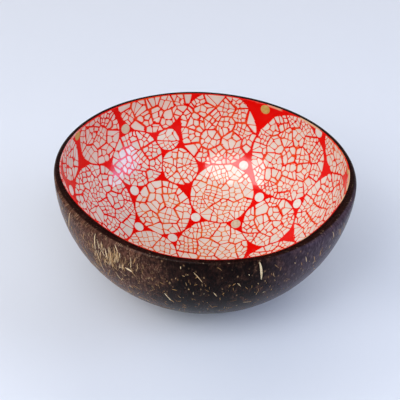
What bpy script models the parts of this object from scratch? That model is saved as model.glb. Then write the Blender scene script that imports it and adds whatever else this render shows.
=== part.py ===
"""Bowl made of half a coconut shell, lined with red lacquer that is inlaid with eggshell medallions and dots.

The foot stands on z = 0 and the bowl's axis is +Z. The surfaces inside the bowl are half ellipsoids about the
middle of the rim's circle, one inside the other. The inlays are laid out as cones from that middle point.
"""

import math

import bmesh
import bpy
from mathutils import Matrix, Vector

MM = 0.001
HALF_TURN = 180
FULL_TURN = 360

# Coconut shell
RIM_DIAMETER = 135 * MM
BOWL_HEIGHT = 61.5 * MM
FOOT_DIAMETER = 39 * MM
RIM_WALL = 2.3 * MM
FLOOR_THICKNESS = 3.7 * MM
RIM_ROUNDING = 1.1 * MM

# How far the wall stands in where the coconut is flat-sided, and each flat side's azimuth and spread in degrees
RIGHT_SIDE_DEPTH = 2.9 * MM
FRONT_SIDE_DEPTH = 2.6 * MM
BACK_SIDE_DEPTH = 0.8 * MM
THICK_SIDES = ((-29, RIGHT_SIDE_DEPTH), (-138, FRONT_SIDE_DEPTH), (68, BACK_SIDE_DEPTH))
THICK_SIDE_SPREAD = 42

# Coats on the inside, from the wall inwards
COAT_GAP = 0.3 * MM
GROUND_THICKNESS = 0.3 * MM
LACQUER_THICKNESS = 0.4 * MM

# Inlays: the least red that shows between two of them, and the gap round each in its opening
RED_LINE = 1.0 * MM
POCKET_CLEARANCE = 0.25 * MM
DOT_DIAMETER = 4.3 * MM

# Each medallion's room in the pattern: azimuth from +X, tilt from straight down and angular radius, in degrees
MEDALLIONS = (
    (147, 81.5, 12), (116, 91.5, 17), (85, 74, 17), (45, 70, 18.5), (18, 90.5, 10.7), (5, 65, 17),
    (31, 40, 13), (-15, 35.5, 14.5), (77, 42.5, 15), (125.5, 36.5, 14), (61, 10.5, 17), (166, 55.5, 18),
    (129, 63.5, 12.5), (110, 69, 5), (105.5, 55.5, 8.5), (177.5, 24, 12.5), (171.5, 83.5, 8.5),
    (-163.5, 79, 12), (-3.7, 90, 4.8), (-90, 42, 15), (-52, 60, 12.5), (-125, 62, 14), (-88, 76, 13),
    (-38, 84, 11.5), (-135, 39, 8.5), (-115, 87, 9), (-63, 86, 9.5), (-51, 37, 6.5), (-139, 89, 10),
    (-156, 54, 11), (-112, 17.5, 10.5), (-26, 65, 9.5), (-16, 84, 8.5),
)

# Dots: azimuth and tilt in degrees, and the kind of shell
DOTS = (
    (160.5, 88.5, "ochre"), (131, 78.5, "tan"), (138.5, 50.5, "white"), (156, 35.5, "white"),
    (136, 20.5, "white"), (97.5, 29, "white"), (55, 30, "tan"), (51, 47.5, "white"), (26, 56, "white"),
    (68.5, 59, "white"), (64, 87.5, "ochre"), (34.5, 88.5, "white"), (4.3, 89.5, "ochre"), (-179.5, 74, "white"),
    (-58, 22, "white"), (-74, 61, "tan"), (-104, 61, "white"), (-144, 75.5, "white"), (-107, 75, "ochre"),
    (-30, 50, "white"), (-160, 40, "tan"),
)

# Facets of the turned surfaces and of the inlays' outlines
AROUND = 48
RINGS = 8
ROUNDING_STEPS = 3
MEDALLION_SIDES = 20
DOT_SIDES = 12
SHARP_ANGLE = math.radians(35)

# What follows from the sizes above
RIM_RADIUS = RIM_DIAMETER / 2
FOOT_RADIUS = FOOT_DIAMETER / 2
RIM_CENTRE = Vector((0, 0, BOWL_HEIGHT))
POLE_DEPTH = BOWL_HEIGHT / math.sqrt(1 - (FOOT_RADIUS / RIM_RADIUS) ** 2)
CAVITY_RADIUS = RIM_RADIUS - RIM_WALL
CAVITY_DEPTH = BOWL_HEIGHT - FLOOR_THICKNESS
GROUND_BACK = COAT_GAP
GROUND_FACE = GROUND_BACK + GROUND_THICKNESS
LACQUER_BACK = GROUND_FACE + COAT_GAP
LACQUER_FACE = LACQUER_BACK + LACQUER_THICKNESS

# A cone that cuts an inlay out starts and ends at these shares of the distance to the lining
CONE_START = 0.6
CONE_END = 1.4

# Points this close on the axis are one point
SAME_POINT = 0.00001

# Colour, roughness and metallic value
FINISHES = {
    "coconut": ((0.030, 0.018, 0.013), 0.35, 0.0),
    "ground": ((0.020, 0.010, 0.008), 0.40, 0.0),
    "red": ((0.800, 0.004, 0.004), 0.12, 0.0),
    "eggshell": ((0.740, 0.690, 0.620), 0.20, 0.0),
    "white": ((0.720, 0.660, 0.600), 0.20, 0.0),
    "tan": ((0.570, 0.450, 0.310), 0.20, 0.0),
    "ochre": ((0.560, 0.360, 0.070), 0.20, 0.0),
}


def clear_scene():
    for old in list(bpy.data.objects):
        bpy.data.objects.remove(old)


def finish(kind):
    """The material of this kind, made on its first use."""
    material = bpy.data.materials.get(kind)
    if material is None:
        colour, roughness, metallic = FINISHES[kind]
        material = bpy.data.materials.new(kind)
        material.use_nodes = True
        shader = material.node_tree.nodes["Principled BSDF"]
        shader.inputs["Base Color"].default_value = (*colour, 1)
        shader.inputs["Roughness"].default_value = roughness
        shader.inputs["Metallic"].default_value = metallic
    return material


def new_piece(name, mesh, kind):
    """An object for this mesh, in the scene and with its finish."""
    piece = bpy.data.objects.new(name, mesh)
    mesh.materials.append(finish(kind))
    bpy.context.scene.collection.objects.link(piece)
    return piece


def wall_left(azimuth):
    """How much of the cavity's radius the thick sides leave at this azimuth, in degrees."""
    stands_in = 0
    for middle, depth in THICK_SIDES:
        away = abs((azimuth - middle + HALF_TURN) % FULL_TURN - HALF_TURN)
        if away < THICK_SIDE_SPREAD:
            stands_in += depth * math.cos(math.pi / 2 * away / THICK_SIDE_SPREAD) ** 2
    return 1 - stands_in / CAVITY_RADIUS


def inner_arc(depth):
    """Profile of the surface this deep inside the cavity's wall, from its lowest point up to the rim."""
    across = CAVITY_RADIUS - depth
    down = CAVITY_DEPTH - depth
    turns = [math.pi / 2 * step / RINGS for step in range(RINGS + 1)]
    return [(across * math.sin(turn), BOWL_HEIGHT - down * math.cos(turn), 1) for turn in turns]


def outer_arc():
    """Profile of the shell's outside, from the rim's rounded edge down to the middle of the foot."""
    points = []
    for step in range(ROUNDING_STEPS):
        turn = math.pi / 2 * step / ROUNDING_STEPS
        radius = RIM_RADIUS - RIM_ROUNDING * (1 - math.sin(turn))
        points.append((radius, BOWL_HEIGHT - RIM_ROUNDING * (1 - math.cos(turn)), 0))
    highest = math.acos(RIM_ROUNDING / POLE_DEPTH)
    lowest = math.asin(FOOT_RADIUS / RIM_RADIUS)
    for step in range(RINGS + 1):
        turn = highest + (lowest - highest) * step / RINGS
        points.append((RIM_RADIUS * math.sin(turn), BOWL_HEIGHT - POLE_DEPTH * math.cos(turn), 0))
    points[-1] = (FOOT_RADIUS, 0, 0)
    return points + [(0, 0, 0)]


def turned_mesh(name, profile):
    """A solid turned about the bowl's axis from a profile that starts and ends on it.

    Each point is a radius, a height and whether its surface stands in at the thick sides (1) or not (0).
    """
    bm = bmesh.new()
    stands_in = bm.verts.layers.float.new("stands_in")
    chain = []
    for radius, height, share in profile:
        vert = bm.verts.new((radius, 0, height))
        vert[stands_in] = share
        chain.append(vert)
    edges = [bm.edges.new(pair) for pair in zip(chain, chain[1:])]
    bmesh.ops.spin(
        bm, geom=chain + edges, axis=(0, 0, 1), cent=(0, 0, 0), angle=math.tau, steps=AROUND, use_merge=True
    )
    bmesh.ops.remove_doubles(bm, verts=bm.verts, dist=SAME_POINT)
    bmesh.ops.recalc_face_normals(bm, faces=bm.faces)
    for vert in bm.verts:
        left = wall_left(math.degrees(math.atan2(vert.co.y, vert.co.x)))
        narrowing = 1 - vert[stands_in] * (1 - left)
        vert.co.x *= narrowing
        vert.co.y *= narrowing
    bmesh.ops.triangulate(bm, faces=bm.faces)
    mesh = bpy.data.meshes.new(name)
    bm.to_mesh(mesh)
    bm.free()
    mesh.shade_smooth()
    mesh.set_sharp_from_angle(angle=SHARP_ANGLE)
    return mesh


def coat_profile(back, face):
    """Profile of a coat between two depths inside the cavity's wall."""
    return inner_arc(face) + inner_arc(back)[::-1]


def facing(azimuth, tilt):
    """The turn that points +Z from the rim's centre towards this place on the lining."""
    return Matrix.Rotation(math.radians(azimuth), 4, "Z") @ Matrix.Rotation(math.radians(HALF_TURN - tilt), 4, "Y")


def lining_distance(azimuth, tilt):
    """How far the lacquer's face lies from the rim's centre in this direction."""
    across = (CAVITY_RADIUS - LACQUER_FACE) * wall_left(azimuth)
    down = CAVITY_DEPTH - LACQUER_FACE
    return 1 / math.hypot(math.sin(math.radians(tilt)) / across, math.cos(math.radians(tilt)) / down)


def add_cone(bm, azimuth, tilt, radius, sides):
    """Adds a cutter from near the rim's centre through the lining, of this radius at the lacquer's face."""
    distance = lining_distance(azimuth, tilt)
    start = CONE_START * distance
    end = CONE_END * distance
    middle = Matrix.Translation((0, 0, (start + end) / 2))
    bmesh.ops.create_cone(
        bm, cap_ends=True, segments=sides, radius1=CONE_START * radius, radius2=CONE_END * radius,
        depth=end - start, matrix=Matrix.Translation(RIM_CENTRE) @ facing(azimuth, tilt) @ middle,
    )


def cutter(name, bm):
    """A helper object of this shape, which only cuts other pieces."""
    mesh = bpy.data.meshes.new(name)
    bm.to_mesh(mesh)
    bm.free()
    helper = bpy.data.objects.new(name, mesh)
    helper.display_type = "WIRE"
    helper.hide_render = True
    bpy.context.scene.collection.objects.link(helper)
    return helper


def cut(piece, operation, helper):
    boolean = piece.modifiers.new(operation.lower(), "BOOLEAN")
    boolean.operation = operation
    boolean.object = helper


def inlay_plan():
    """Name, kind, azimuth, tilt, radius and number of sides of every inlay."""
    for number, (azimuth, tilt, room) in enumerate(MEDALLIONS, 1):
        radius = lining_distance(azimuth, tilt) * math.tan(math.radians(room)) - RED_LINE / 2
        yield f"medallion_{number:02d}", "eggshell", azimuth, tilt, radius, MEDALLION_SIDES
    for number, (azimuth, tilt, kind) in enumerate(DOTS, 1):
        yield f"dot_{number:02d}", kind, azimuth, tilt, DOT_DIAMETER / 2, DOT_SIDES


def main():
    clear_scene()
    new_piece("coconut_shell", turned_mesh("coconut_shell", inner_arc(0) + outer_arc()), "coconut")
    ground = turned_mesh("ground_coat", coat_profile(GROUND_BACK, GROUND_FACE))
    new_piece("ground_coat", ground, "ground")

    layer = turned_mesh("lacquer_layer", coat_profile(LACQUER_BACK, LACQUER_FACE))
    openings = bmesh.new()
    for name, kind, azimuth, tilt, radius, sides in inlay_plan():
        add_cone(openings, azimuth, tilt, radius + POCKET_CLEARANCE, sides)
        core = bmesh.new()
        add_cone(core, azimuth, tilt, radius, sides)
        cut(new_piece(name, layer.copy(), kind), "INTERSECT", cutter(name + "_core", core))
    cut(new_piece("red_lacquer", layer, "red"), "DIFFERENCE", cutter("openings", openings))


main()
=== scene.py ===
"""Looks of the bowl: half a coconut shell, polished, lined with red lacquer and crackled eggshell inlays."""

import math
import random

import bmesh
import bpy
from mathutils import Matrix, Vector, noise


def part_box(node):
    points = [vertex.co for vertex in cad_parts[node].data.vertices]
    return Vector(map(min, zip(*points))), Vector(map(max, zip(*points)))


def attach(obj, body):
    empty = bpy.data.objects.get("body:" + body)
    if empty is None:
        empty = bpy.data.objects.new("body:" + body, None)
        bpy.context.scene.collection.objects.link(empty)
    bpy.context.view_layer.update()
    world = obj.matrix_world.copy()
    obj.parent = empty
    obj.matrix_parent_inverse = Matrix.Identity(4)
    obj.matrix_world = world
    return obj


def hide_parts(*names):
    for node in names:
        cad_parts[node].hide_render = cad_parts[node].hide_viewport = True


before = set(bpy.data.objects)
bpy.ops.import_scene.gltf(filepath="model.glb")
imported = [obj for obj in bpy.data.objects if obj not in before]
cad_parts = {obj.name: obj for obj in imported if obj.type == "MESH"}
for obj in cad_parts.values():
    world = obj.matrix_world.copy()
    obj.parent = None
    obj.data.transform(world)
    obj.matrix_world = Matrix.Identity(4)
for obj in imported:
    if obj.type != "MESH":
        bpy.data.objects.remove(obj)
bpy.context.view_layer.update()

MM = 0.001
HALF_TURN = 180
FULL_TURN = 360

# The bowl's main sizes: those of the solids, and the softened edge of its foot
SHELL_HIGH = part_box("coconut_shell")[1]
RIM_RADIUS = SHELL_HIGH.x
BOWL_HEIGHT = SHELL_HIGH.z
RIM_WALL = 2.3 * MM
FLOOR_THICKNESS = 3.7 * MM
FOOT_RADIUS = 19.5 * MM
RIM_ROUNDING = 1.1 * MM
FOOT_ROUNDING = 0.8 * MM

# What follows from them, with the angle from straight down at which the rim's rounding starts
RIM_CENTRE = Vector((0, 0, BOWL_HEIGHT))
POLE_DEPTH = BOWL_HEIGHT / math.sqrt(1 - (FOOT_RADIUS / RIM_RADIUS) ** 2)
CAVITY_RADIUS = RIM_RADIUS - RIM_WALL
CAVITY_DEPTH = BOWL_HEIGHT - FLOOR_THICKNESS
ROUNDED_FROM = math.acos(RIM_ROUNDING / POLE_DEPTH)

# Flat sides of the coconut, where the wall stands in: azimuth in degrees and by how much, and their spread
THICK_SIDES = ((-29, 2.9 * MM), (-138, 2.6 * MM), (68, 0.8 * MM))
THICK_SIDE_SPREAD = 42

# How much wider and deeper the rim is rounded there, for each millimetre that the wall stands in
ROLL_ACROSS = 1.0
ROLL_DOWN = 0.35

# Unevenness of the shell's outside, and how worn the edge of its foot is
DENT_SIZE = 14 * MM
DENT_DEPTH = 0.12 * MM
FOOT_WEAR = 0.5

# Depth of the lacquer's face inside the wall: over most of the bowl, at the rim, and from which tilt it
# thins. The rounding of its lip, how far below the rim cut shell starts to show on it and shows fully, and
# how far the lining's back keeps from the wall
LINING_DEPTH = 1.3 * MM
RIM_LINING_DEPTH = 0.5 * MM
THINS_FROM = math.radians(62)
LIP_ROUNDING = 0.2 * MM
CUT_EDGE = 0.9 * MM
FULL_CUT_EDGE = 0.8 * CUT_EDGE
LINING_SEAT = 0.05 * MM

# Steps of the turned surfaces, the distances under which two points are one and an edge is dissolved, and
# the angle from which an edge stays sharp
AROUND = 192
WALL_RINGS = 48
ROUNDING_STEPS = 4
SAME_POINT = 0.002 * MM
SHORTEST_EDGE = 0.03 * MM
SHARP_ANGLE = math.radians(35)

# Medallions: how far one outgrows its room in the pattern, and by its number where that differs, the red
# that is left to the next one, around a dot and at the rim, and the angle from its middle beyond which the
# border to another one doesn't count
GROWTH = 1.06
GROWTH_HERE = {4: 1.09, 5: 1.13}
RED_LINE = 0.7 * MM
DOT_LINE = 0.6 * MM
RIM_LINE = 0.3 * MM
NEIGHBOUR_ANGLE = math.radians(45)
MEDALLION_SIDES = 56

# Their pieces: how deep they sit and how far they stand proud, the spread of their lean, and the share of
# their height that it may take. Then the rounding of their corners, its limit as a share of the outline for
# each corner, and the angle under which a corner is rounded
PIECE_SEAT = 0.15 * MM
PIECE_PROUD = 0.04 * MM
PIECE_LEAN = 0.02
MOST_SUNK = 0.8
CORNER_ROUNDING = 0.6 * MM
CORNER_SHARE = 0.2
CORNER_ANGLE = math.radians(152)
CORNER_STEPS = 2

# Stains: how far they reach into a piece and into which share of it at most, how stained its middle is in
# some medallions, by their number, and the share of a medallion's room in which the lacquer is warm
STAINED_EDGE = 0.45 * MM
MOST_STAINED = 0.42
SOAKED_HERE = {1: 0.36, 2: 0.33, 3: 0.22, 4: 0.15}
WARM_SHARE = 0.85

# Dots: how wide, how far their edge slopes in, how far the edge and the middle stand proud, and the slope's
# steps as shares of that height
DOT_DIAMETER = 4.9 * MM
DOT_SLOPE = 0.45 * MM
DOT_EDGE = PIECE_PROUD / 2
DOT_PROUD = 0.14 * MM
DOT_STEPS = (0.75, 1)
DOT_SIDES = 28

# Wander of the medallions' outlines and cracks: over what sizes and how far, where its noise starts for
# each axis, and how near a dot or the rim it calms down
WANDERS = ((7 * MM, 1.0 * MM), (2.3 * MM, 0.36 * MM))
WANDER_STARTS = (Vector((9.3, -1.5, -8)), Vector((-7.2, 3.4, 5.1)), Vector((2.6, 11.8, -4.7)))
CALM_REACH = 7 * MM

# Each kind of crackle in mm: least spacing of its blocks, cracks between these, spacing of the pieces in a
# block, and cracks between those
CRACKLES = {
    "coarse": (6.0, 0.85, 2.6, 0.44),
    "medium": (6.4, 0.7, 2.5, 0.36),
    "fine": (6.8, 0.5, 2.25, 0.25),
}

# How these vary: the pieces' spacing and cracks from block to block, the cracks' widths over patches of
# this size, the least of them, and the range in which a medallion's patches start
PIECE_SPREAD = (0.78, 1.3)
CRACK_SPREAD = (0.65, 1.35)
WIDTH_CHANGE = 0.9
WIDTH_PATCH = 4 * MM
LEAST_CRACK = 0.1 * MM
PATCH_STARTS = (0, 99)

# How the pieces' middles lie: how much further apart they may be one way, how far a row, and a piece in it,
# is off its place, and how many points are tried for each square of the spacing
MOST_STRETCH = 1.4
ROW_SHIFT = 0.22
ROW_JITTER = 0.13
SCATTER_TRIES = 14

# Medallions in the order of their nodes: azimuth from +X, tilt from straight down and angular radius of the
# room in degrees, kind of crackle, and how orange the stain along its cracks is
MEDALLIONS = (
    (147, 81.5, 12, "medium", 0.1), (116, 91.5, 17, "coarse", 0.3), (85, 74, 17, "coarse", 0.4),
    (45, 70, 18.5, "medium", 0.4), (18, 90.5, 10.7, "fine", 0.6), (5, 65, 17, "medium", 0.4),
    (31, 40, 13, "medium", 0.5), (-15, 35.5, 14.5, "medium", 0.6), (77, 42.5, 15, "fine", 0.8),
    (125.5, 36.5, 14, "medium", 0.8), (61, 10.5, 17, "medium", 0.9), (166, 55.5, 18, "medium", 0.0),
    (129, 63.5, 12.5, "medium", 0.1), (110, 69, 5, "fine", 0.3), (105.5, 55.5, 8.5, "medium", 0.6),
    (177.5, 24, 12.5, "fine", 0.8), (171.5, 83.5, 8.5, "medium", 0.0), (-163.5, 79, 12, "medium", 0.0),
    (-3.7, 90, 4.8, "medium", 0.5), (-90, 42, 15, "medium", 0.6), (-52, 60, 12.5, "fine", 0.6),
    (-125, 62, 14, "coarse", 0.3), (-88, 76, 13, "medium", 0.4), (-38, 84, 11.5, "coarse", 0.4),
    (-135, 39, 8.5, "fine", 0.6), (-115, 87, 9, "medium", 0.2), (-63, 86, 9.5, "medium", 0.5),
    (-51, 37, 6.5, "fine", 0.6), (-139, 89, 10, "medium", 0.1), (-156, 54, 11, "medium", 0.2),
    (-112, 17.5, 10.5, "medium", 0.7), (-26, 65, 9.5, "fine", 0.5), (-16, 84, 8.5, "medium", 0.5),
)

# Dots in the order of their nodes: azimuth and tilt in degrees, and the kind of shell
DOTS = (
    (160.5, 88.5, "ochre"), (131, 78.5, "tan"), (138.5, 50.5, "white"), (156, 35.5, "white"),
    (136, 20.5, "white"), (97.5, 29, "white"), (55, 30, "tan"), (51, 47.5, "white"), (26, 56, "white"),
    (68.5, 59, "white"), (64, 87.5, "ochre"), (34.5, 88.5, "white"), (4.3, 89.5, "ochre"),
    (-179.5, 74, "white"), (-58, 22, "white"), (-74, 61, "tan"), (-104, 61, "white"), (-144, 75.5, "white"),
    (-107, 75, "ochre"), (-30, 50, "white"), (-160, 40, "tan"),
)

# Pale fibres on the outside: longest step along one in mm and fewest steps, how much it narrows to its
# ends, how far it stands proud, and the middle and spread of its bend
FIBRE_STEP = 1.6
FIBRE_STEPS = 3
FIBRE_TAPER = 0.75
FIBRE_PROUD = 0.04 * MM
FIBRE_BEND = (0, 0.8)
FIBRE_SEED = 5

# The longest ones: azimuth and tilt in degrees, length and width in mm, lean in degrees, bend, and how pale
STROKES = (
    (-147, 84, 13, 0.5, 20, 1.2, 0.75), (-130, 85, 9.5, 0.45, 5, -0.8, 0.9),
    (-125, 82, 6.5, 0.45, -4, 0.5, 1.0), (-120, 87.5, 4.5, 0.4, -20, 0.3, 0.9),
    (-115.5, 79, 3.6, 1.2, -70, 0.2, 1.0), (-90.5, 83, 7, 0.35, -32, 0.8, 0.7),
    (-101.5, 67.5, 6.8, 0.5, -20, 0.2, 1.0), (-84, 73, 3.8, 0.4, -25, 0.3, 0.8),
    (-69, 84.5, 12, 0.9, -11, 0.6, 0.95), (-76, 78.5, 3.0, 0.4, -32, 0.4, 0.8),
    (-50, 82.5, 4.4, 0.4, -20, 0.5, 0.8), (-36, 86.5, 5.2, 0.4, -25, 0.5, 0.7),
    (-31, 84.5, 6, 0.3, -25, 0.5, 0.45), (-29, 83, 7, 0.3, -25, 0.6, 0.4),
    (-27, 85, 5, 0.3, -25, 0.4, 0.4), (-42, 81, 5, 0.3, -22, 0.3, 0.45),
    (-45, 80, 4.5, 0.3, -25, 0.4, 0.5),
)

# The densest bundle: how many, middle and spread of their azimuth, tilt and lean in degrees, and the most
# tilt. Least, most and commonest length and least and most width in mm, and least and most paleness
BUNDLE_COUNT = 75
BUNDLE_AZIMUTH = (-124, 5.5)
BUNDLE_TILT = (81, 4)
BUNDLE_TOP = 85
BUNDLE_LEAN = (6, 11)
BUNDLE_LENGTH = (1.5, 8, 3)
BUNDLE_WIDTH = (0.15, 0.36)
BUNDLE_SHADE = (0.25, 1)

# Small ones all over: how many are tried, the share of them that is kept where they are fewest, and how
# steeply that rises towards the brown side. Least, most and commonest tilt in degrees, length in mm and
# paleness, with lengths of their own on the brown side, least and most width in mm, and how many times
# longer than wide they are at least
SPECK_COUNT = 2200
FEWEST_SPECKS = 0.25
CROWDING = 4
SPECK_TILT = (22, 88, 78)
SPECK_LENGTH = (0.5, 2.4, 0.8)
BROWN_SPECK_LENGTH = (0.6, 4.6, 1)
SPECK_SHADE = (0, 1, 0.2)
SPECK_WIDTH = (0.14, 0.34)
SPECK_SLIMNESS = 3

# Their lean in degrees: its middle and spread, the share of them that has it, and the range of the rest
SPECK_LEAN = (-10, 18)
LEANING_SHARE = 0.7
STRAY_LEAN = (-80, 80)

# Soft lamps that don't show in the gloss: name, direction from the rim's centre, distance and size in m,
# radiance and tone
LAMPS = (
    ("key", (-0.54, -0.57, 0.62), 1.1, 0.6, 5.5, (1.0, 1.0, 0.97)),
    ("side", (0.92, -0.09, 0.38), 1.1, 0.6, 3.7, (0.74, 0.82, 1.0)),
    ("broad", (-0.75, 0.2, 0.62), 1.8, 1.5, 1.5, (1.0, 0.96, 0.88)),
    ("front", (0, -0.64, 0.77), 1.8, 1.5, 2.6, (0.84, 0.92, 1.0)),
    ("back", (0.1, 0.75, 0.65), 1.8, 1.5, 1.6, (1.0, 0.96, 0.91)),
    ("right", (0.75, 0.1, 0.65), 1.8, 1.5, 0.8, (0.85, 0.93, 1.0)),
)

# Windows that show only in the gloss: name, direction, distance, width and height in m, radiance, tone, and
# how far they are turned about that direction in degrees
WINDOWS = (
    ("window", (-0.43, -0.57, 0.7), 1.1, 0.96, 0.44, 21, (1.0, 0.98, 1.0), 18),
    ("side_window", (0.96, 0.0, 0.27), 1.1, 0.78, 0.36, 19, (0.5, 0.56, 1.0), -19),
)

# Backdrop: the light it gives, its colour as seen, and the heights between which it fades out, as the sine
# of the elevation. Floor: half its width in m, its colours, and the distances in m between which it fades
# into the backdrop
AMBIENT = (0.02, 0.02, 0.022, 1)
BACKDROP = (0.73, 0.76, 0.84, 1)
HAZE_LOW = 0.25
HAZE_HIGH = 0.6
FLOOR_REACH = 30
FLOOR_COLOURS = ((0.69, 0.72, 0.82, 1), (0.72, 0.75, 0.85, 1))
FADE_FROM = 0.22
FADE_TO = 0.8

# Camera: distance from the rim's centre, elevation and turns from looking straight at that centre in
# radians, focal length and sensor in mm, and the nearest that it sees
CAMERA_DISTANCE = 405 * MM
CAMERA_ELEVATION = 0.5956
CAMERA_YAW = -0.0044
CAMERA_PITCH = -0.0382
CAMERA_ROLL = 0.0589
CAMERA_LENS = 81.33
SENSOR = 36
NEAREST_SEEN = 10 * MM

# Gloss of the lacquer and of the polished shell, and the patterns of the coconut shell: the radius in mm on
# which its grain is laid, what keeps a distance from the axis over 0 in mm, and the sides on which it is
# brown with dense fibres, mottled, and a greyish purple that is a painted sheen, a painted reflection of
# bluish surroundings
LACQUER_GLOSS = 0.16
SHELL_GLOSS = 0.035
GRAIN_RADIUS = 60
OFF_AXIS = 0.01
BROWN_SIDE = Vector((-0.8, -0.6))
MOTTLED_SIDE = Vector((0.8, -0.6))
PAINTED_SHEEN_SIDE = Vector((0.87, -0.5))

# Colours of the lacquer: its reds, where it is stained, and cut shell and chips of shell along its lip
DEEP_RED = (0.68, 0.0015, 0.0006, 1)
BRIGHT_RED = (0.76, 0.003, 0.001, 1)
ORANGE = (0.72, 0.16, 0.02, 1)
CUT_SHELL = (0.72, 0.46, 0.27, 1)
PINK_CHIPS = (0.72, 0.44, 0.42, 1)

# Colours of the eggshell: its greyest and whitest pieces, its mottling, where it is warm, its pores and its
# stains
GREY_PIECE = (0.645, 0.625, 0.57, 1)
WHITE_PIECE = (0.72, 0.70, 0.65, 1)
MOTTLED_PIECE = (0.68, 0.61, 0.52, 1)
WARM_PIECE = (0.79, 0.67, 0.60, 1)
PORE = (0.45, 0.33, 0.24, 1)
RED_STAIN = (0.76, 0.15, 0.06, 1)
ORANGE_STAIN = (0.78, 0.33, 0.05, 1)

# Dark and pale colour of each kind of dot, and the stain at a dot's edge
DOT_COLOURS = {
    "white": ((0.68, 0.65, 0.60, 1), (0.76, 0.74, 0.69, 1)),
    "tan": ((0.52, 0.42, 0.29, 1), (0.62, 0.52, 0.38, 1)),
    "ochre": ((0.50, 0.33, 0.07, 1), (0.58, 0.42, 0.14, 1)),
}
DOT_STAIN = (0.55, 0.22, 0.12, 1)

# Dark and pale grain of the coconut shell where it is near black, brown, under the painted purple sheen (a
# painted reflection of bluish surroundings) and sawn, and its fine specks, its coarse specks and the flecks
# on its worn edges
BLACK_GRAIN = ((0.003, 0.001, 0.0008, 1), (0.014, 0.004, 0.003, 1))
BROWN_GRAIN = ((0.045, 0.017, 0.013, 1), (0.21, 0.085, 0.053, 1))
PAINTED_SHEEN_GRAIN = ((0.032, 0.018, 0.029, 1), (0.077, 0.049, 0.068, 1))
SAWN_GRAIN = ((0.006, 0.0015, 0.001, 1), (0.036, 0.010, 0.008, 1))
FINE_SPECKS = (0.60, 0.36, 0.21, 1)
COARSE_SPECKS = (0.30, 0.17, 0.085, 1)
WORN_FLECKS = (0.36, 0.24, 0.15, 1)

# Colours of its fibres by how pale they are, and of the streaks in them
FIBRE_COLOURS = ((0, (0.13, 0.06, 0.028, 1)), (0.5, (0.50, 0.28, 0.10, 1)), (1, (0.90, 0.73, 0.46, 1)))
FIBRE_STREAKS = (0.16, 0.08, 0.035, 1)


class Socket:
    """A node's output. Arithmetic on it adds Math nodes, and add() any other node."""

    def __init__(self, tree, output):
        self.tree = tree
        self.output = output

    def add(self, kind, settings, inputs, output=0):
        """A new node of this type: its settings first, then the values or links of its sockets."""
        node = self.tree.nodes.new(kind)
        for name, value in settings.items():
            if name == "stops":
                set_stops(node.color_ramp, value)
            else:
                setattr(node, name, value)
        for name, value in inputs.items():
            self.feed(node.inputs[name], value)
        return Socket(self.tree, node.outputs[output])

    def feed(self, socket, value):
        """Gives a node's input its link or its constant."""
        if isinstance(value, Socket):
            self.tree.links.new(value.output, socket)
        else:
            socket.default_value = value

    def math(self, operation, *values):
        """A Math node on these values."""
        return self.add("ShaderNodeMath", {"operation": operation}, dict(enumerate(values)))

    def __add__(self, other):
        return self.math("ADD", self, other)

    def __radd__(self, other):
        return self.math("ADD", other, self)

    def __mul__(self, other):
        return self.math("MULTIPLY", self, other)

    def __rmul__(self, other):
        return self.math("MULTIPLY", other, self)

    def __truediv__(self, other):
        return self.math("DIVIDE", self, other)

    def __pow__(self, other):
        return self.math("POWER", self, other)

    def step(self, low, high):
        """Rises smoothly from 0 at low to 1 at high."""
        sockets = {"Value": self, "From Min": low, "From Max": high}
        return self.add("ShaderNodeMapRange", {"interpolation_type": "SMOOTHSTEP"}, sockets)

    def between(self, first, second):
        """The mix of two colours, with this as the share of the second."""
        sockets = {0: self, 6: first, 7: second}
        return self.add("ShaderNodeMix", {"data_type": "RGBA", "clamp_factor": True}, sockets, 2)

    def split(self):
        """The three coordinates of a vector."""
        return [self.add("ShaderNodeSeparateXYZ", {}, {0: self}, axis) for axis in range(3)]

    def vector(self, x, y, z):
        """A vector of these coordinates."""
        return self.add("ShaderNodeCombineXYZ", {}, {0: x, 1: y, 2: z})

    def moved(self, other):
        """The sum of two vectors."""
        return self.add("ShaderNodeVectorMath", {"operation": "ADD"}, {0: self, 1: other})

    def stretched(self, x, y, z):
        """A vector times a number of its own for each axis."""
        return self.add("ShaderNodeVectorMath", {"operation": "MULTIPLY"}, {0: self, 1: (x, y, z)})

    def noise(self, scale, detail=2, output=0):
        """Noise about 0.5, of this scale per mm: a number (output 0) or a colour (output 1)."""
        sockets = {"Vector": self, "Scale": scale, "Detail": detail}
        return self.add("ShaderNodeTexNoise", {}, sockets, output)

    def voronoi(self, scale, output=0):
        """Distance to the nearest of scattered points (output 0), or its random colour (output 1)."""
        return self.add("ShaderNodeTexVoronoi", {}, {"Vector": self, "Scale": scale}, output)

    def attribute(self, name):
        """A number kept on the mesh's own vertices."""
        return self.add("ShaderNodeAttribute", {"attribute_name": name}, {}, 2)


def set_stops(ramp, stops):
    """Gives a colour ramp these positions and colours."""
    while len(ramp.elements) < len(stops):
        ramp.elements.new(1)
    for element, (place, colour) in zip(ramp.elements, stops):
        element.position = place
        element.color = colour


class Finish:
    """A material with a Principled shader, and its pattern's coordinates in millimetres."""

    def __init__(self, name, **constants):
        self.material = bpy.data.materials.new(name)
        self.material.use_nodes = True
        tree = self.material.node_tree
        self.shader = tree.nodes["Principled BSDF"]
        for socket, value in constants.items():
            self.shader.inputs[socket.replace("_", " ")].default_value = value
        place = Socket(tree, tree.nodes.new("ShaderNodeTexCoord").outputs["Object"])
        self.place = place.stretched(1 / MM, 1 / MM, 1 / MM)

    def feed(self, name, value):
        """Gives one of the shader's inputs its link."""
        self.place.feed(self.shader.inputs[name], value)

    def bump(self, height, distance, strength):
        """Raises the surface by this height, in parts of distance."""
        sockets = {"Height": height, "Distance": distance, "Strength": strength}
        self.feed("Normal", self.place.add("ShaderNodeBump", {}, sockets))


def from_axis(x, y):
    """Distance from the bowl's axis in mm, a little over 0 on it."""
    return (x * x + y * y) ** 0.5 + OFF_AXIS


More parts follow.
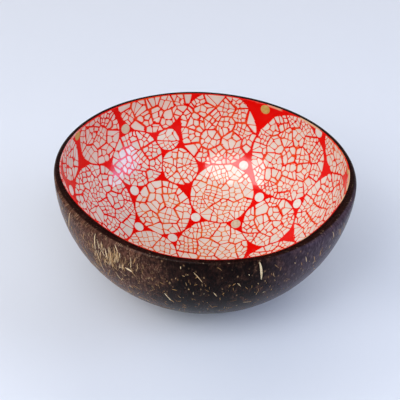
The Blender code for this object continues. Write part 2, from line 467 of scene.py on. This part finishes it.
def red_lacquer():
    """Glossy red lacquer: faintly cloudy, orange in patches of some medallions, cut shell on its lip."""
    finish = Finish("red_lacquer", Specular_IOR_Level=LACQUER_GLOSS)
    place = finish.place
    red = place.noise(0.16, 3).between(DEEP_RED, BRIGHT_RED)
    patches = place.noise(0.32).step(0.36, 0.64)
    red = (0.9 * patches * place.attribute("warmth")).between(red, ORANGE)
    x, y, _ = place.split()
    side = x / from_axis(x, y)
    lip = place.attribute("lip")
    cut = side.step(0.3, 0.6) * lip * place.noise(0.09).step(0.51, 0.57)
    chips = side.step(-0.88, -0.97) * lip * place.noise(0.8, 3).step(0.4, 0.52)
    edged = (0.9 * cut).between(red, CUT_SHELL)
    finish.feed("Base Color", (0.85 * chips).between(edged, PINK_CHIPS))
    finish.feed("Roughness", 0.07 + 0.08 * place.noise(0.5))
    finish.bump(place.noise(0.2, 1), 0.3 * MM, 0.4)
    return finish.material


def eggshell():
    """Off-white shell pieces: each its own tint, and stained by lacquer along its cracks."""
    finish = Finish("eggshell", Specular_IOR_Level=LACQUER_GLOSS)
    place = finish.place
    warmth = place.attribute("warmth")
    shell = place.attribute("tint").between(GREY_PIECE, WHITE_PIECE)
    mottle = place.noise(0.9, 4).step(0.35, 0.75)
    shell = (0.3 * mottle).between(shell, MOTTLED_PIECE)
    shell = (0.5 * warmth).between(shell, WARM_PIECE)
    pores = place.voronoi(3.2).step(0.16, 0.05)
    shell = (0.15 * pores).between(shell, PORE)
    stained = warmth.between(RED_STAIN, ORANGE_STAIN)
    soaked = place.attribute("stain") ** 1.5 * (0.4 + 0.25 * warmth + 0.5 * place.noise(0.6))
    finish.feed("Base Color", soaked.between(shell, stained))
    finish.feed("Roughness", 0.07 + 0.1 * place.noise(1.3))
    finish.bump(place.noise(0.3, 1), 0.2 * MM, 0.4)
    return finish.material


def dot_shell(name, dark, pale):
    """A whole disc of shell in one colour, a little stained at its edge."""
    finish = Finish(name, Specular_IOR_Level=LACQUER_GLOSS)
    place = finish.place
    body = place.noise(0.7, 4).step(0.3, 0.7).between(dark, pale)
    edge = place.attribute("stain") ** 3
    finish.feed("Base Color", (0.35 * edge).between(body, DOT_STAIN))
    finish.feed("Roughness", 0.1 + 0.1 * place.noise(1.5))
    finish.bump(place.noise(0.5), 0.2 * MM, 0.4)
    return finish.material


def coconut():
    """Polished coconut shell: near black, brown on one side, painted purple on another as a reflection, and
    reddish where sawn.
    """
    finish = Finish("coconut", Specular_IOR_Level=SHELL_GLOSS)
    place = finish.place
    x, y, z = place.split()
    around = from_axis(x, y)
    bend = place.noise(0.06, 2, 1).stretched(4, 4, 4)
    ring = place.vector(x / around * GRAIN_RADIUS, y / around * GRAIN_RADIUS, z).moved(bend)
    grain = ring.stretched(1, 1, 0.4).noise(1.1, 5)
    mottle = ring.stretched(1, 1, 0.6).noise(0.3, 5)
    brown_side, mottled_side, painted_sheen_side = [
        (side.x * x + side.y * y) / around for side in (BROWN_SIDE, MOTTLED_SIDE, PAINTED_SHEEN_SIDE)
    ]

    # From near black to brown, with fine specks in the brown
    dark = grain.step(0.35, 0.75).between(*BLACK_GRAIN)
    brown = grain.step(0.35, 0.75).between(*BROWN_GRAIN)
    fine = ring.stretched(1, 1, 0.35).noise(2.6).step(0.57, 0.70)
    brown = (0.65 * fine).between(brown, FINE_SPECKS)
    mottles = (0.1 + 0.25 * mottled_side.step(0.6, 0.95)) * mottle.step(0.45, 0.7)
    brownness = (brown_side + 0.5 * place.noise(0.07, 3)).step(0.91, 1.27)
    outside = (mottles + 0.7 * brownness).between(dark, brown)

    # The painted purple sheen on one side, a painted reflection of bluish surroundings, and coarse specks all
    # over
    painted_sheen_grain = grain.step(0.3, 0.7).between(*PAINTED_SHEEN_GRAIN)
    outside = (0.9 * painted_sheen_side.step(0.75, 1)).between(outside, painted_sheen_grain)
    cells = ring.stretched(1, 1, 0.5)
    chosen = cells.voronoi(0.75, 1).split()[0].step(0.6, 0.75)
    coarse = cells.voronoi(0.75).step(0.3, 0.14) * chosen * mottle.step(0.4, 0.58)
    outside = (0.7 * coarse).between(outside, COARSE_SPECKS)

    # The sawn faces, and flecks on the worn edges
    sawn = (place.attribute("sawn") + 0.3 * grain).step(0.55, 0.85)
    cut = place.noise(1.6, 4).step(0.35, 0.8).between(*SAWN_GRAIN)
    worn = place.attribute("worn")
    flecks = worn * place.noise(1.1, 3).step(0.63, 0.71)
    finish.feed("Base Color", (0.6 * flecks).between(sawn.between(outside, cut), WORN_FLECKS))
    finish.feed("Roughness", 0.2 + 0.12 * grain + 0.2 * worn)
    finish.bump(grain, 0.1 * MM, 0.5)
    return finish.material


def fibre():
    """Pale fibres in the coconut shell, from brown to cream."""
    finish = Finish("fibre", Specular_IOR_Level=SHELL_GLOSS, Roughness=0.3)
    tint = finish.place.attribute("tint")
    body = tint.add("ShaderNodeValToRGB", {"stops": FIBRE_COLOURS}, {0: tint})
    streak = finish.place.noise(1.4, 3).step(0.35, 0.7)
    finish.feed("Base Color", (0.4 * streak).between(body, FIBRE_STREAKS))
    return finish.material


def seen(place):
    """1 for what the camera sees, by itself or in a gloss, and 0 for the light that falls on the bowl."""
    kinds = ("Is Camera Ray", "Is Glossy Ray", "Is Transmission Ray")
    camera, glossy, through = [place.add("ShaderNodeLightPath", {}, {}, kind) for kind in kinds]
    return place.math("MINIMUM", camera + glossy + through, 1)


def pale_floor():
    """A pale floor, which fades into the backdrop far from the bowl."""
    finish = Finish("pale_floor", Roughness=0.6)
    place = finish.place
    finish.feed("Base Color", place.noise(0.004).between(*FLOOR_COLOURS))
    x, y, _ = place.split()
    far = (x * x + y * y) ** 0.5
    glow = place.add("ShaderNodeEmission", {}, {"Color": BACKDROP})
    faded = far.step(FADE_FROM / MM, FADE_TO / MM) * seen(place)
    floor = Socket(place.tree, finish.shader.outputs[0])
    mixed = place.add("ShaderNodeMixShader", {}, {0: faded, 1: floor, 2: glow})
    place.feed(place.tree.nodes["Material Output"].inputs["Surface"], mixed)
    return finish.material


def stands_in(azimuth):
    """How far the wall stands in at this azimuth, in degrees."""
    total = 0
    for middle, depth in THICK_SIDES:
        away = abs((azimuth - middle + HALF_TURN) % FULL_TURN - HALF_TURN)
        if away < THICK_SIDE_SPREAD:
            total += depth * math.cos(math.pi / 2 * away / THICK_SIDE_SPREAD) ** 2
    return total


def wall_left(azimuth):
    """How much of the cavity's radius the thick sides leave at this azimuth, in degrees."""
    return 1 - stands_in(azimuth) / CAVITY_RADIUS


def lining_depth(tilt):
    """Depth of the lacquer's face inside the wall, thinner near the rim."""
    share = min(1, max(0, (tilt - THINS_FROM) / (math.pi / 2 - THINS_FROM)))
    thinned = share * share * (3 - 2 * share)
    return LINING_DEPTH + (RIM_LINING_DEPTH - LINING_DEPTH) * thinned


def inside_point(direction, depth):
    """The place at this depth inside the cavity's wall, in this direction from the rim's centre."""
    unit = direction.normalized()
    across = (CAVITY_RADIUS - depth) * wall_left(math.degrees(math.atan2(unit.y, unit.x)))
    down = CAVITY_DEPTH - depth
    return RIM_CENTRE + unit / math.hypot(math.hypot(unit.x, unit.y) / across, unit.z / down)


def lining_point(direction, height):
    """The place on the lining in this direction from the rim's centre, raised by this height towards it."""
    tilt = math.atan2(math.hypot(direction.x, direction.y), -direction.z)
    return inside_point(direction, lining_depth(tilt)) - direction.normalized() * height


def facing(azimuth, tilt):
    """The turn of the Z axis to this direction from the rim's centre."""
    down = Matrix.Rotation(math.radians(HALF_TURN - tilt), 3, "Y")
    return Matrix.Rotation(math.radians(azimuth), 3, "Z") @ down


def pointing(azimuth, tilt):
    """The direction from the rim's centre at this azimuth and tilt in degrees."""
    return facing(azimuth, tilt) @ Vector((0, 0, 1))


def new_piece(name, bm, finish, nodes):
    """Makes a mesh object for the bmesh, smooth, riding on the bowl and standing for these nodes."""
    mesh = bpy.data.meshes.new(name)
    bm.to_mesh(mesh)
    bm.free()
    mesh.materials.append(finish)
    mesh.shade_smooth()
    mesh.set_sharp_from_angle(angle=SHARP_ANGLE)
    piece = bpy.data.objects.new(name, mesh)
    bpy.context.scene.collection.objects.link(piece)
    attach(piece, "root")
    if nodes:
        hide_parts(*nodes)


def turn(bm, chain):
    """Turns a profile, whose ends lie on the axis, into a closed surface with its faces outwards."""
    edges = [bm.edges.new(pair) for pair in zip(chain, chain[1:])]
    bmesh.ops.spin(
        bm, geom=chain + edges, axis=(0, 0, 1), cent=(0, 0, 0), angle=math.tau, steps=AROUND, use_merge=True
    )
    bmesh.ops.remove_doubles(bm, verts=bm.verts, dist=SAME_POINT)
    bmesh.ops.recalc_face_normals(bm, faces=bm.faces)


def quarter(steps):
    """Angles from 0 to a quarter turn."""
    return [math.pi / 2 * step / steps for step in range(steps + 1)]


def shell_profile():
    """Radius, height and marks of the profile's points, from the cavity's floor over the rim to the foot."""
    for angle in quarter(WALL_RINGS):
        marks = {"flat_side": 1, "sawn": 1}
        yield CAVITY_RADIUS * math.sin(angle), BOWL_HEIGHT - CAVITY_DEPTH * math.cos(angle), marks
    for angle in quarter(ROUNDING_STEPS):
        marks = {"outside": 1, "sawn": math.cos(angle) ** 2, "worn": math.sin(2 * angle) ** 2}
        yield RIM_RADIUS, BOWL_HEIGHT - RIM_ROUNDING * (1 - math.cos(angle)), marks
    lowest = math.asin((FOOT_RADIUS + FOOT_ROUNDING) / RIM_RADIUS)
    for step in range(1, WALL_RINGS + 1):
        angle = ROUNDED_FROM + (lowest - ROUNDED_FROM) * step / WALL_RINGS
        yield RIM_RADIUS * math.sin(angle), BOWL_HEIGHT - POLE_DEPTH * math.cos(angle), {"outside": 1}
    yield FOOT_RADIUS, 0, {"worn": FOOT_WEAR}
    yield FOOT_RADIUS / 2, 0, {"sawn": 1}
    yield 0, 0, {"sawn": 1}


def outside_point(place):
    """A place on the outside, moved in where the shell is uneven and where the rim is rounded."""
    thicker = stands_in(math.degrees(math.atan2(place.y, place.x)))
    across = RIM_ROUNDING + ROLL_ACROSS * thicker
    down = RIM_ROUNDING + ROLL_DOWN * thicker
    above = max(0, 1 - (BOWL_HEIGHT - place.z) / down)
    rounding = across * (1 - math.sqrt(1 - above * above))
    dent = DENT_DEPTH * (1 + noise.noise(place / DENT_SIZE)) / 2
    kept = 1 - (rounding + dent) / RIM_RADIUS
    return Vector((place.x * kept, place.y * kept, place.z))


def make_shell():
    """The coconut shell, with its sawn and rounded rim and its sanded foot."""
    bm = bmesh.new()
    layers = {name: bm.verts.layers.float.new(name) for name in ("flat_side", "outside", "sawn", "worn")}
    chain = []
    for radius, height, marks in shell_profile():
        vert = bm.verts.new((radius, 0, height))
        for name, share in marks.items():
            vert[layers[name]] = share
        chain.append(vert)
    turn(bm, chain)
    for vert in bm.verts:
        narrowing = wall_left(math.degrees(math.atan2(vert.co.y, vert.co.x)))
        if vert[layers["flat_side"]]:
            vert.co.x *= narrowing
            vert.co.y *= narrowing
        elif vert[layers["outside"]]:
            vert.co = outside_point(vert.co)
    new_piece("shell", bm, coconut(), ["coconut_shell"])


def add_fibre(bm, azimuth, tilt, length, width, lean, bend, shade):
    """One pale fibre, a flat leaf on the outside: place and lean in degrees, sizes in mm."""
    tint = bm.verts.layers.float["tint"]
    steps = max(FIBRE_STEPS, math.ceil(length / FIBRE_STEP))
    leaf = bmesh.ops.create_grid(bm, x_segments=steps, y_segments=1, size=1)["verts"]
    faces = dict.fromkeys(face for vert in leaf for face in vert.link_faces)
    raised = bmesh.ops.extrude_face_region(bm, geom=list(faces))["geom"]
    tops = [item for item in raised if isinstance(item, bmesh.types.BMVert)]
    slope = Matrix.Rotation(math.radians(lean), 3, "Z")
    for vert in leaf + tops:
        along = vert.co.x
        across = vert.co.y * (1 - FIBRE_TAPER * along * along) + bend * (1 - along * along)
        flat = slope @ Vector((along * length / 2, across * width / 2, 0)) * MM
        down = min(ROUNDED_FROM, math.radians(tilt) + flat.x / RIM_RADIUS)
        turned = math.radians(azimuth) + flat.y / (RIM_RADIUS * math.sin(down))
        out = RIM_RADIUS * math.sin(down)
        level = BOWL_HEIGHT - POLE_DEPTH * math.cos(down)
        place = Vector((out * math.cos(turned), out * math.sin(turned), level))
        outwards = (place - RIM_CENTRE).normalized()
        vert.co = outside_point(place) + outwards * (FIBRE_PROUD if vert in tops else -FIBRE_PROUD)
        vert[tint] = shade


def make_fibres():
    """The shell's pale fibres: the long strokes, one dense bundle, and small specks all over."""
    draw = random.Random(FIBRE_SEED)
    bm = bmesh.new()
    bm.verts.layers.float.new("tint")
    for stroke in STROKES:
        add_fibre(bm, *stroke)
    for _ in range(BUNDLE_COUNT):
        place = draw.gauss(*BUNDLE_AZIMUTH), min(BUNDLE_TOP, draw.gauss(*BUNDLE_TILT))
        sizes = draw.triangular(*BUNDLE_LENGTH), draw.uniform(*BUNDLE_WIDTH)
        shape = draw.gauss(*BUNDLE_LEAN), draw.gauss(*FIBRE_BEND)
        add_fibre(bm, *place, *sizes, *shape, draw.uniform(*BUNDLE_SHADE))
    brown_azimuth = math.atan2(BROWN_SIDE.y, BROWN_SIDE.x)
    for _ in range(SPECK_COUNT):
        azimuth = draw.uniform(-HALF_TURN, HALF_TURN)
        tilt = draw.triangular(*SPECK_TILT)
        brownness = (1 + math.cos(math.radians(azimuth) - brown_azimuth)) / 2
        if draw.random() > FEWEST_SPECKS + (1 - FEWEST_SPECKS) * brownness ** CROWDING:
            continue
        length = draw.triangular(*(BROWN_SPECK_LENGTH if draw.random() < brownness else SPECK_LENGTH))
        width = min(length / SPECK_SLIMNESS, draw.uniform(*SPECK_WIDTH))
        lean = draw.gauss(*SPECK_LEAN) if draw.random() < LEANING_SHARE else draw.uniform(*STRAY_LEAN)
        bend = draw.gauss(*FIBRE_BEND)
        add_fibre(bm, azimuth, tilt, length, width, lean, bend, draw.triangular(*SPECK_SHADE))
    bmesh.ops.recalc_face_normals(bm, faces=bm.faces)
    new_piece("fibres", bm, fibre(), [])


def lining_profile():
    """Tilt from straight down, depth inside the wall and share of the lip: over the face, then behind it."""
    for angle in quarter(WALL_RINGS)[:-1]:
        yield angle, lining_depth(angle), 0
    for below, lip in ((CUT_EDGE, 0), (FULL_CUT_EDGE, 1)):
        angle = math.pi / 2 - below / CAVITY_RADIUS
        yield angle, lining_depth(angle), lip
    for angle in quarter(ROUNDING_STEPS):
        depth = RIM_LINING_DEPTH - LIP_ROUNDING * (1 - math.cos(angle))
        yield math.pi / 2 - LIP_ROUNDING / CAVITY_RADIUS * (1 - math.sin(angle)), depth, 1
    for angle in quarter(WALL_RINGS)[::-1]:
        yield angle, LINING_SEAT, 1


def warmth_at(direction):
    """How orange the lacquer is in this direction from the rim's centre."""
    near = [
        warmth for azimuth, tilt, room, _, warmth in MEDALLIONS
        if direction.angle(pointing(azimuth, tilt)) < WARM_SHARE * math.radians(room)
    ]
    return max(near, default=0)


def make_lining():
    """The red lacquer from its face to the wall behind it, with a rounded lip at the rim."""
    bm = bmesh.new()
    depths = bm.verts.layers.float.new("depth")
    lips = bm.verts.layers.float.new("lip")
    chain = []
    for tilt, depth, lip in lining_profile():
        place = inside_point(Vector((math.sin(tilt), 0, -math.cos(tilt))), depth)
        vert = bm.verts.new(place)
        vert[depths] = depth
        vert[lips] = lip
        chain.append(vert)
    turn(bm, chain)
    warm = bm.verts.layers.float.new("warmth")
    for vert in bm.verts:
        direction = vert.co - RIM_CENTRE
        vert.co = inside_point(direction, vert[depths])
        vert[warm] = warmth_at(direction)
    new_piece("lacquer_lining", bm, red_lacquer(), ["red_lacquer", "ground_coat"])


def keep_near(bm, face, place, outwards):
    """Cuts off the part of a face beyond a line, and returns what is left, if anything."""
    geom = [face, *face.edges, *face.verts]
    kept = bmesh.ops.bisect_plane(
        bm, geom=geom, dist=SAME_POINT, plane_co=place, plane_no=outwards.normalized(), clear_outer=True
    )
    return next((item for item in kept["geom"] if isinstance(item, bmesh.types.BMFace)), None)


def holds(face, point):
    """Whether a point lies inside a convex face, all of it level."""
    turns = []
    for loop in face.loops:
        corner = loop.vert.co
        turns.append((loop.link_loop_next.vert.co - corner).cross(point - corner).z)
    return min(turns) > 0 or max(turns) < 0


def scatter(face, spacing, draw):
    """Points in a convex face, at least this far apart, and further along a direction of their own."""
    along = Matrix.Rotation(draw.uniform(0, math.pi), 3, "Z") @ Vector((1, 0, 0))
    squeeze = Matrix.Scale(1 / draw.uniform(1, MOST_STRETCH), 3, along)
    corners = [vert.co for vert in face.verts]
    low = [min(corner[axis] for corner in corners) for axis in range(2)]
    high = [max(corner[axis] for corner in corners) for axis in range(2)]
    tries = int(SCATTER_TRIES * (high[0] - low[0]) * (high[1] - low[1]) / spacing ** 2) + SCATTER_TRIES
    points = []
    for _ in range(tries):
        point = Vector((draw.uniform(low[0], high[0]), draw.uniform(low[1], high[1]), 0))
        clear = all((squeeze @ (point - other)).length > spacing for other in points)
        if clear and holds(face, point):
            points.append(point)
    return points


def rows(face, spacing, draw):
    """Points in a convex face in rough rows like bricks, which run in a direction of their own."""
    along = Matrix.Rotation(draw.uniform(0, math.pi), 3, "Z")
    length = spacing * draw.uniform(1, MOST_STRETCH)
    centre = face.calc_center_median()
    reach = max((vert.co - centre).length for vert in face.verts)
    most = int(reach / spacing) + 1
    points = []
    for row in range(-most, most + 1):
        shift = draw.uniform(-ROW_SHIFT, ROW_SHIFT)
        for place in range(-most, most + 1):
            x = place + shift + draw.uniform(-ROW_JITTER, ROW_JITTER)
            y = row + draw.uniform(-ROW_JITTER, ROW_JITTER)
            point = centre + along @ Vector((x * length, y * spacing, 0))
            if holds(face, point):
                points.append(point)
    return points


def shatter(bm, face, points, width, start):
    """Breaks a face into the cells around these points, with cracks of about this width between them."""
    cells = []
    for point in points:
        copy = bmesh.ops.duplicate(bm, geom=[face])["geom"]
        cell = next(item for item in copy if isinstance(item, bmesh.types.BMFace))
        for other in sorted(points, key=lambda other: (other - point).length_squared)[1:]:
            away = other - point
            if cell is None or away.length > 2 * max((vert.co - point).length for vert in cell.verts):
                break
            middle = (point + other) / 2
            share = 1 + WIDTH_CHANGE * noise.noise(middle / WIDTH_PATCH + start)
            crack = max(LEAST_CRACK, width * share)
            cell = keep_near(bm, cell, middle - away.normalized() * crack / 2, away)
        if cell is not None:
            cells.append(cell)
    bmesh.ops.delete(bm, geom=[face], context="FACES")
    return cells


def crackle(bm, face, kind, draw):
    """Breaks a medallion's disc into blocks, and these into rows of pieces with finer cracks."""
    block, block_crack, piece, piece_crack = (size * MM for size in CRACKLES[kind])
    start = Vector((draw.uniform(*PATCH_STARTS), draw.uniform(*PATCH_STARTS), 0))
    for part in shatter(bm, face, scatter(face, block, draw), block_crack, start):
        points = rows(part, piece * draw.uniform(*PIECE_SPREAD), draw)
        if len(points) > 1:
            shatter(bm, part, points, piece_crack * draw.uniform(*CRACK_SPREAD), start)


def round_corners(bm):
    """Rounds each piece's corners, less on a small piece."""
    for face in list(bm.faces):
        if not face.is_valid:
            continue
        corners = [loop.vert for loop in face.loops if loop.calc_angle() < CORNER_ANGLE]
        if corners:
            offset = min(CORNER_ROUNDING, CORNER_SHARE * face.calc_perimeter() / len(corners))
            bmesh.ops.bevel(
                bm, geom=corners, offset=offset, segments=CORNER_STEPS, profile=0.5, affect="VERTICES",
                clamp_overlap=True, material=-1,
            )


def thicken(bm, draw, soaked):
    """Gives every piece its sides, its bottom, a stained edge, its own tint and a slight lean."""
    stain = bm.verts.layers.float.new("stain")
    tint = bm.verts.layers.float.new("tint")
    for face in list(bm.faces):
        shade = draw.random()
        lean = Vector((draw.gauss(0, PIECE_LEAN), draw.gauss(0, PIECE_LEAN), 0))
        centre = face.calc_center_median()
        raised = bmesh.ops.extrude_face_region(bm, geom=[face])["geom"]
        top = next(item for item in raised if isinstance(item, bmesh.types.BMFace))
        for vert in face.verts:
            vert[stain] = 1
            vert[tint] = shade
            vert.co.z = -PIECE_SEAT
        inset = bmesh.ops.inset_individual(bm, faces=[top], thickness=0)
        rim = {vert for edge_face in inset["faces"] for vert in edge_face.verts}
        for vert in rim.union(top.verts):
            away = vert.co - centre
            if vert in top.verts:
                vert.co -= away.normalized() * min(STAINED_EDGE, MOST_STAINED * away.length)
            vert[stain] = soaked if vert in top.verts else 1
            vert[tint] = shade
            vert.co.z = PIECE_PROUD + max(-MOST_SUNK * PIECE_PROUD, lean.dot(away))
    bmesh.ops.recalc_face_normals(bm, faces=bm.faces)


DOT_PLACES = [pointing(azimuth, tilt) * CAVITY_RADIUS for azimuth, tilt, _ in DOTS]


def wander(direction):
    """A direction from the rim's centre, turned a little, so that outlines and cracks aren't straight."""
    place = direction.normalized() * CAVITY_RADIUS
    calm = min(-place.z, min((place - dot).length for dot in DOT_PLACES))
    drift = Vector((0, 0, 0))
    for size, reach in WANDERS:
        drift += reach * Vector([noise.noise(place / size + start) for start in WANDER_STARTS])
    return place + drift * max(0, min(1, calm / CALM_REACH))


def wrap(bm, azimuth, tilt, distance, wanders):
    """Lays a flat inlay, whose heights are above the lacquer, on the lining at this azimuth and tilt."""
    turned = facing(azimuth, tilt)
    for vert in bm.verts:
        direction = turned @ Vector((vert.co.x, vert.co.y, distance))
        vert.co = lining_point(wander(direction) if wanders else direction, vert.co.z)


def inlay_distance(azimuth, tilt):
    """How far the lacquer's face lies from the rim's centre in this direction."""
    return (lining_point(pointing(azimuth, tilt), 0) - RIM_CENTRE).length


def trim_at_rim(bm, tilt, distance):
    """Cuts off what would stand above the rim."""
    edge = Vector((RIM_LINE - distance / math.tan(math.radians(tilt)), 0, 0))
    bmesh.ops.bisect_plane(
        bm, geom=[*bm.verts, *bm.edges, *bm.faces], dist=SAME_POINT, plane_co=edge, plane_no=(-1, 0, 0),
        clear_outer=True,
    )
    bmesh.ops.dissolve_degenerate(bm, dist=SHORTEST_EDGE, edges=bm.edges)


def limits(number, distance):
    """Towards each other inlay: the direction in a medallion's own plane, and how far it may reach there."""
    azimuth, tilt, room = MEDALLIONS[number - 1][:3]
    back = facing(azimuth, tilt).transposed()
    for other, (other_azimuth, other_tilt, other_room, *_) in enumerate(MEDALLIONS, 1):
        towards = back @ pointing(other_azimuth, other_tilt)
        share = math.acos(min(1, towards.z)) * room / (room + other_room)
        if other != number and share < NEIGHBOUR_ANGLE:
            yield towards.xy.normalized().to_3d(), distance * math.tan(share) - RED_LINE / 2
    for other_azimuth, other_tilt, _ in DOTS:
        towards = back @ pointing(other_azimuth, other_tilt)
        if towards.z > 0:
            reach = distance * towards.xy.length / towards.z - DOT_DIAMETER / 2 - DOT_LINE
            yield towards.xy.normalized().to_3d(), reach


def make_medallion(number, azimuth, tilt, room, kind, warmth, finish):
    """One medallion of crackled eggshell, laid on the lining."""
    draw = random.Random(number)
    distance = inlay_distance(azimuth, tilt)
    grown = math.radians(room * GROWTH_HERE.get(number, GROWTH))
    radius = distance * math.tan(grown) - RED_LINE / 2
    bm = bmesh.new()
    bmesh.ops.create_circle(bm, cap_ends=True, segments=MEDALLION_SIDES, radius=radius)
    trim_at_rim(bm, tilt, distance)
    bm.faces.ensure_lookup_table()
    disc = bm.faces[0]
    for towards, reach in limits(number, distance):
        if reach < radius:
            disc = keep_near(bm, disc, towards * reach, towards)
    crackle(bm, disc, kind, draw)
    bmesh.ops.dissolve_degenerate(bm, dist=SHORTEST_EDGE, edges=bm.edges)
    round_corners(bm)
    bmesh.ops.remove_doubles(bm, verts=bm.verts, dist=SHORTEST_EDGE)
    bmesh.ops.dissolve_degenerate(bm, dist=SHORTEST_EDGE, edges=bm.edges)
    thicken(bm, draw, SOAKED_HERE.get(number, 0))
    warm = bm.verts.layers.float.new("warmth")
    for vert in bm.verts:
        vert[warm] = warmth
    wrap(bm, azimuth, tilt, distance, True)
    new_piece(f"eggshell_{number:02d}", bm, finish, [f"medallion_{number:02d}"])


def make_dot(number, azimuth, tilt, kind, finish):
    """One whole disc of shell, slightly domed."""
    distance = inlay_distance(azimuth, tilt)
    bm = bmesh.new()
    stain = bm.verts.layers.float.new("stain")
    bmesh.ops.create_circle(bm, cap_ends=True, segments=DOT_SIDES, radius=DOT_DIAMETER / 2)
    trim_at_rim(bm, tilt, distance)
    bm.faces.ensure_lookup_table()
    base = bm.faces[0]
    raised = bmesh.ops.extrude_face_region(bm, geom=[base])["geom"]
    top = next(item for item in raised if isinstance(item, bmesh.types.BMFace))
    for face, height in ((base, -PIECE_SEAT), (top, DOT_EDGE)):
        for vert in face.verts:
            vert.co.z = height
            vert[stain] = 1
    for share in DOT_STEPS:
        bmesh.ops.inset_individual(bm, faces=[top], thickness=0)
        for vert in top.verts:
            vert.co -= vert.co.xy.to_3d().normalized() * DOT_SLOPE / len(DOT_STEPS)
            vert.co.z = DOT_PROUD * share
            vert[stain] = 0
    bmesh.ops.recalc_face_normals(bm, faces=bm.faces)
    wrap(bm, azimuth, tilt, distance, False)
    new_piece(f"{kind}_dot_{number:02d}", bm, finish, [f"dot_{number:02d}"])


def make_inlays():
    """The medallions and the dots, in the order of their nodes."""
    shell = eggshell()
    for number, (azimuth, tilt, room, kind, warmth) in enumerate(MEDALLIONS, 1):
        make_medallion(number, azimuth, tilt, room, kind, warmth, shell)
    finishes = {kind: dot_shell(f"{kind}_shell", *tones) for kind, tones in DOT_COLOURS.items()}
    for number, (azimuth, tilt, kind) in enumerate(DOTS, 1):
        make_dot(number, azimuth, tilt, kind, finishes[kind])


def make_floor():
    """A wide level floor under the foot."""
    bm = bmesh.new()
    bmesh.ops.create_grid(bm, x_segments=1, y_segments=1, size=FLOOR_REACH)
    mesh = bpy.data.meshes.new("floor")
    bm.to_mesh(mesh)
    bm.free()
    mesh.materials.append(pale_floor())
    floor = bpy.data.objects.new("floor", mesh)
    bpy.context.scene.collection.objects.link(floor)


def add_softbox(name, towards, distance, width, height, radiance, tone, turned):
    """A soft lamp in this direction from the rim's centre, of this radiance, turned about that direction."""
    lamp = bpy.data.lights.new(name, "AREA")
    lamp.shape = "RECTANGLE"
    lamp.size = width
    lamp.size_y = height
    lamp.energy = radiance * math.pi * width * height
    lamp.color = tone
    softbox = bpy.data.objects.new(name, lamp)
    back = Vector(towards).normalized()
    softbox.location = RIM_CENTRE + back * distance
    roll = Matrix.Rotation(math.radians(turned), 3, "Z")
    softbox.rotation_euler = (back.to_track_quat("Z", "Y").to_matrix() @ roll).to_euler()
    bpy.context.scene.collection.objects.link(softbox)
    return softbox


def light_scene():
    """Soft lamps all round, and two windows that show only in the gloss."""
    for name, towards, distance, size, radiance, tone in LAMPS:
        add_softbox(name, towards, distance, size, size, radiance, tone, 0).visible_glossy = False
    for window in WINDOWS:
        add_softbox(*window).visible_diffuse = False


def make_backdrop():
    """A world that is dim as light, and pale low down where the camera or a gloss sees it."""
    world = bpy.data.worlds.new("backdrop")
    bpy.context.scene.world = world
    world.use_nodes = True
    tree = world.node_tree
    direction = Socket(tree, tree.nodes.new("ShaderNodeTexCoord").outputs["Generated"])
    height = direction.split()[2]
    pale = height.step(HAZE_HIGH, HAZE_LOW) * seen(direction)
    direction.feed(tree.nodes["Background"].inputs["Color"], pale.between(AMBIENT, BACKDROP))


def place_camera():
    """Sets the camera as the bowl is seen: along +Y and down, with small turns of its own."""
    back = Vector((0, -math.cos(CAMERA_ELEVATION), math.sin(CAMERA_ELEVATION)))
    look = back.to_track_quat("Z", "Y").to_matrix()
    turns = (
        Matrix.Rotation(-CAMERA_YAW, 3, "Y")
        @ Matrix.Rotation(CAMERA_PITCH, 3, "X")
        @ Matrix.Rotation(CAMERA_ROLL, 3, "Z")
    )
    lens = bpy.data.cameras.new("camera")
    lens.lens = CAMERA_LENS
    lens.sensor_width = SENSOR
    lens.clip_start = NEAREST_SEEN
    camera = bpy.data.objects.new("camera", lens)
    camera.matrix_world = Matrix.LocRotScale(RIM_CENTRE + back * CAMERA_DISTANCE, look @ turns, None)
    bpy.context.scene.collection.objects.link(camera)
    bpy.context.scene.camera = camera


place_camera()
light_scene()
make_backdrop()
make_floor()
make_shell()
make_fibres()
make_lining()
make_inlays()
bpy.context.scene.view_settings.view_transform = "Standard"
